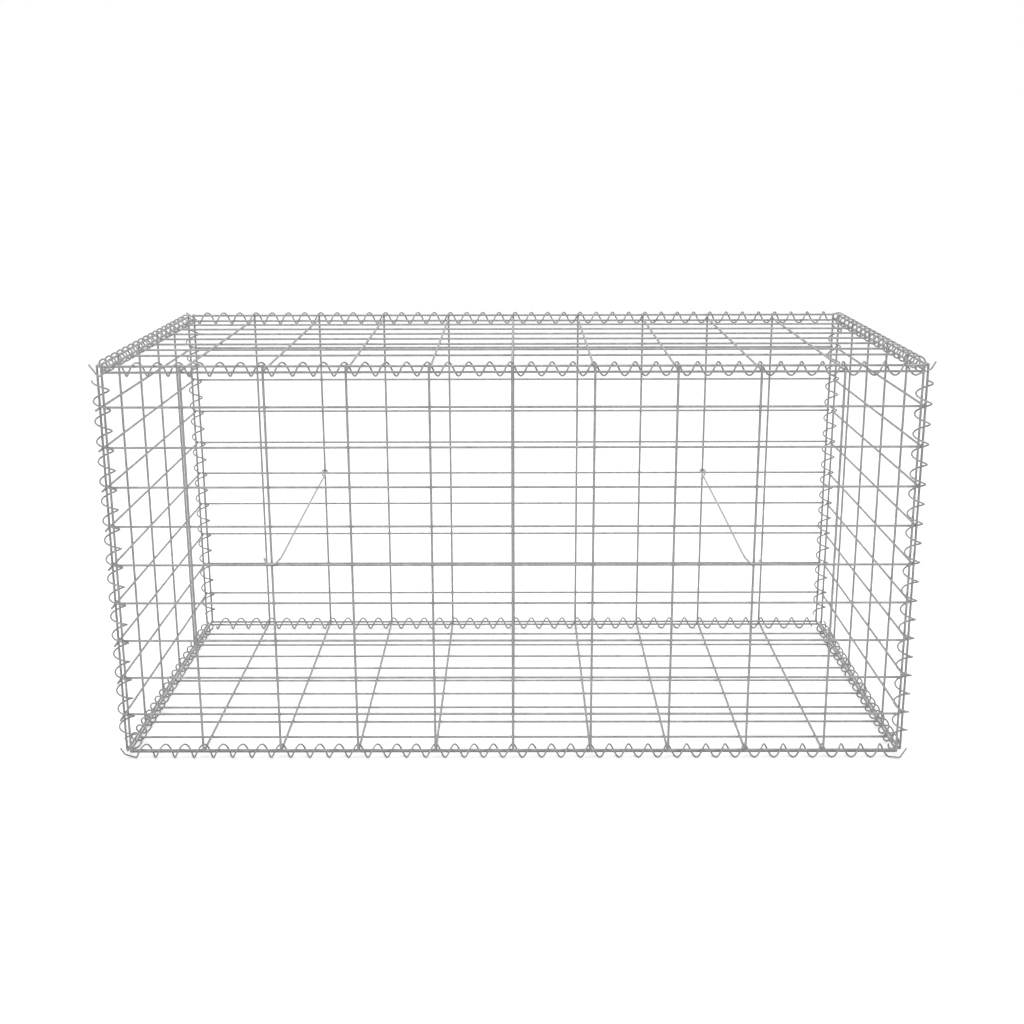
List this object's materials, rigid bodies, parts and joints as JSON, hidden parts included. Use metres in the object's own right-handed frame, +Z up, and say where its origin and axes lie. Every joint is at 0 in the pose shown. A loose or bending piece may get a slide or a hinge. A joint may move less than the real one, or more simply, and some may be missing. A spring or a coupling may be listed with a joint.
{
  "type": "welded mesh gabion basket",
  "caption": "Empty box-shaped gabion basket of welded wire mesh, its lid and sides laced along every edge by helical binder wires, with cross ties.",
  "frame": {"origin": "centre of the basket's footprint, on the ground under the bottom binders", "axes": "+X along the long side to the viewer's right, +Y from the front to the back, +Z up"},
  "size_m": [1.0172, 0.5278, 0.519],
  "materials": {
    "mesh_wire": "hot-dip galvanised, matt grey",
    "binder_wire": "hot-dip galvanised, matt grey",
    "tie_wire": "bright galvanised"
  },
  "bodies": {
    "root": {"front_panel": "mesh_wire", "back_panel": "mesh_wire", "left_panel": "mesh_wire", "right_panel": "mesh_wire", "floor_panel": "mesh_wire", "lid_panel": "mesh_wire", "front_bottom_binder": "binder_wire", "back_bottom_binder": "binder_wire", "left_bottom_binder": "binder_wire", "right_bottom_binder": "binder_wire", "front_top_binder": "binder_wire", "back_top_binder": "binder_wire", "left_top_binder": "binder_wire", "right_top_binder": "binder_wire", "front_left_binder": "binder_wire", "front_right_binder": "binder_wire", "back_left_binder": "binder_wire", "back_right_binder": "binder_wire", "left_tie": "tie_wire", "right_tie": "tie_wire"}
  },
  "joints": []
}
